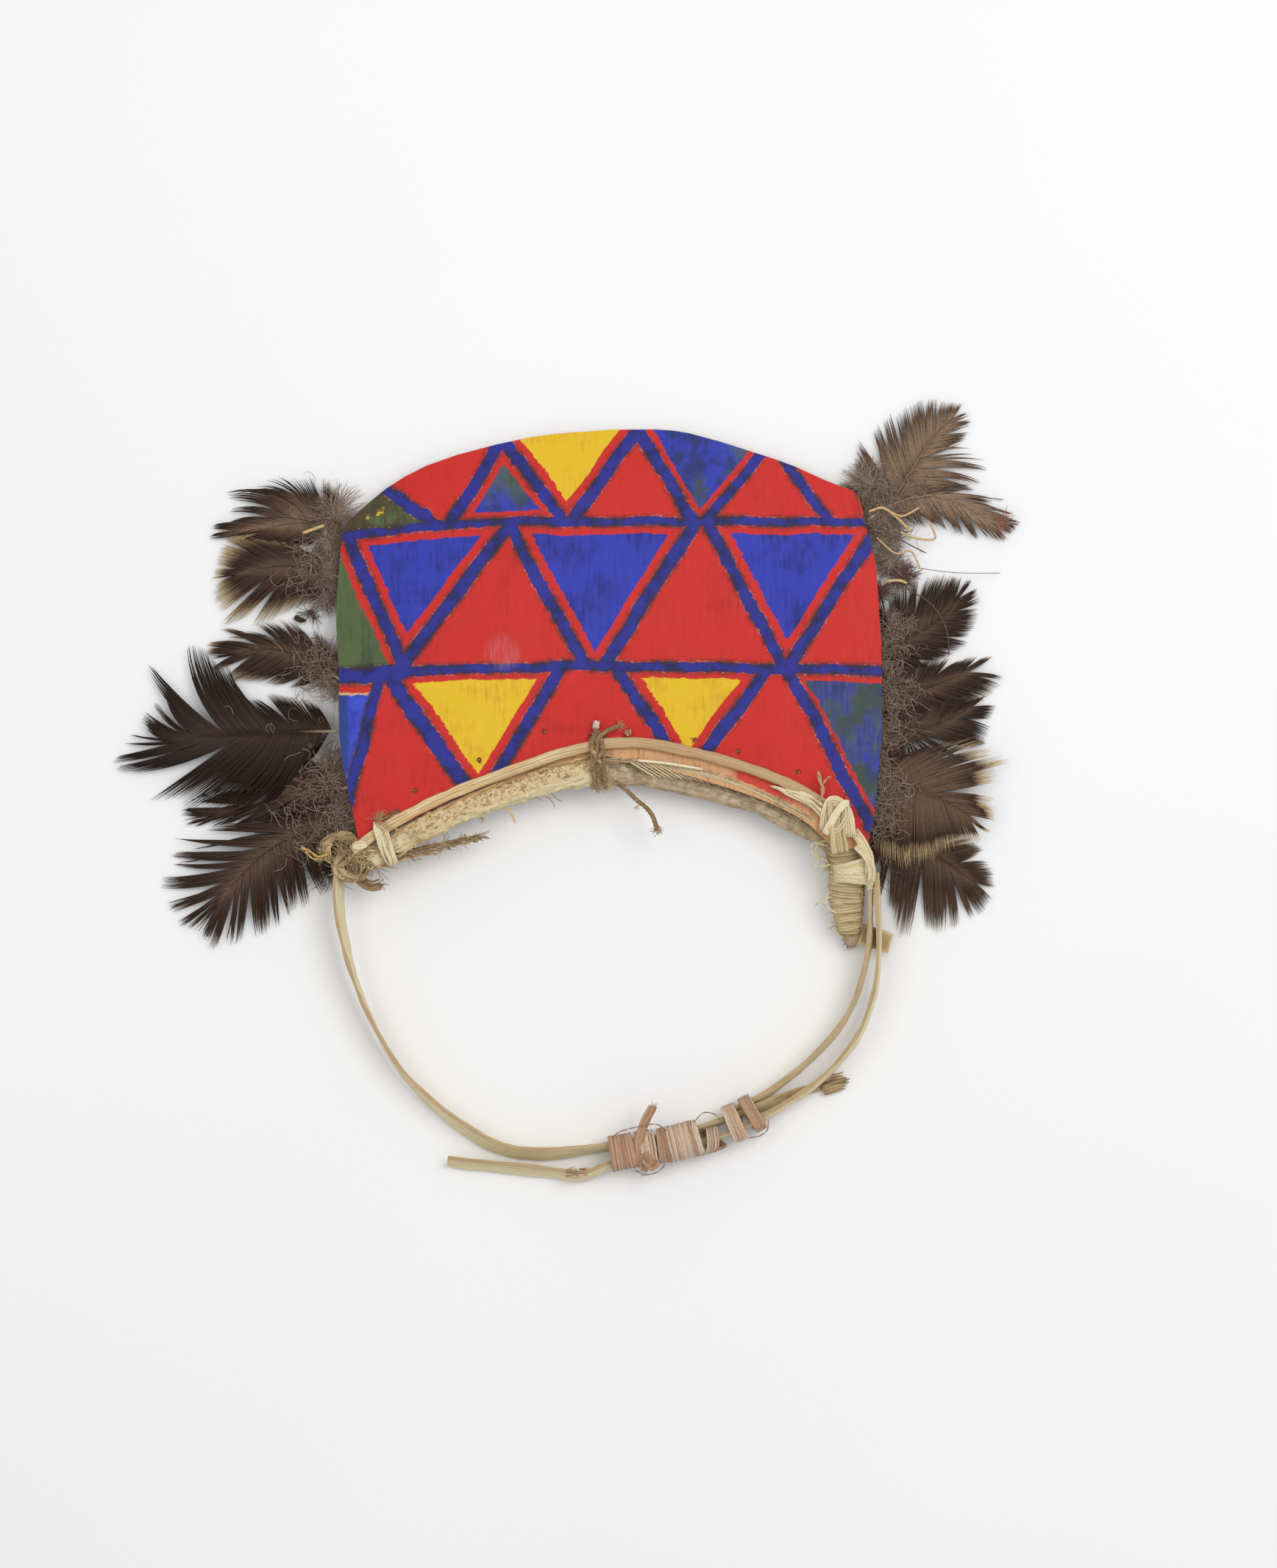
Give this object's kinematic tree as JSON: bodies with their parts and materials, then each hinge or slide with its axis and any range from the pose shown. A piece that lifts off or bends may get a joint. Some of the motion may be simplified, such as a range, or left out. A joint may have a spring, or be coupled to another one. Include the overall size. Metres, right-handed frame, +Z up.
{
  "type": "ceremonial headdress",
  "caption": "Headdress with a painted arched wooden board over the brow, a split-cane head hoop with fibre lashings, and dark feathers along both sides of the board.",
  "frame": {"origin": "middle of the underside of the whole headdress as it lies", "axes": "+Z up from the surface, +Y from the hoop towards the board's crown, +X to the right as seen from above"},
  "size_m": [0.3352, 0.2976, 0.024],
  "materials": {
    "painted_wood": "matte",
    "cane": "satin",
    "pith_and_fibre": "matte",
    "bark": "matte",
    "pale_fibre": "matte",
    "twine": "matte",
    "feather": "satin"
  },
  "bodies": {
    "root": {"painted_board": "painted_wood", "front_strip": "cane", "brow_roll": "pith_and_fibre", "fibre_plug": "twine", "left_strap": "pale_fibre", "centre_tie": "twine", "left_knot": "twine", "right_lashing": "pale_fibre", "hoop_left_strip": "cane", "hoop_outer_strip": "cane", "hoop_inner_strip": "cane", "back_lashing": "bark", "cane_tab": "cane", "feather_left_1": "feather", "feather_left_2": "feather", "feather_left_3": "feather", "feather_left_4": "feather", "feather_left_5": "feather", "feather_left_6": "feather", "feather_right_1": "feather", "feather_right_2": "feather", "feather_right_3": "feather", "feather_right_4": "feather", "feather_right_5": "feather", "feather_right_6": "feather", "feather_right_7": "feather"}
  },
  "joints": []
}
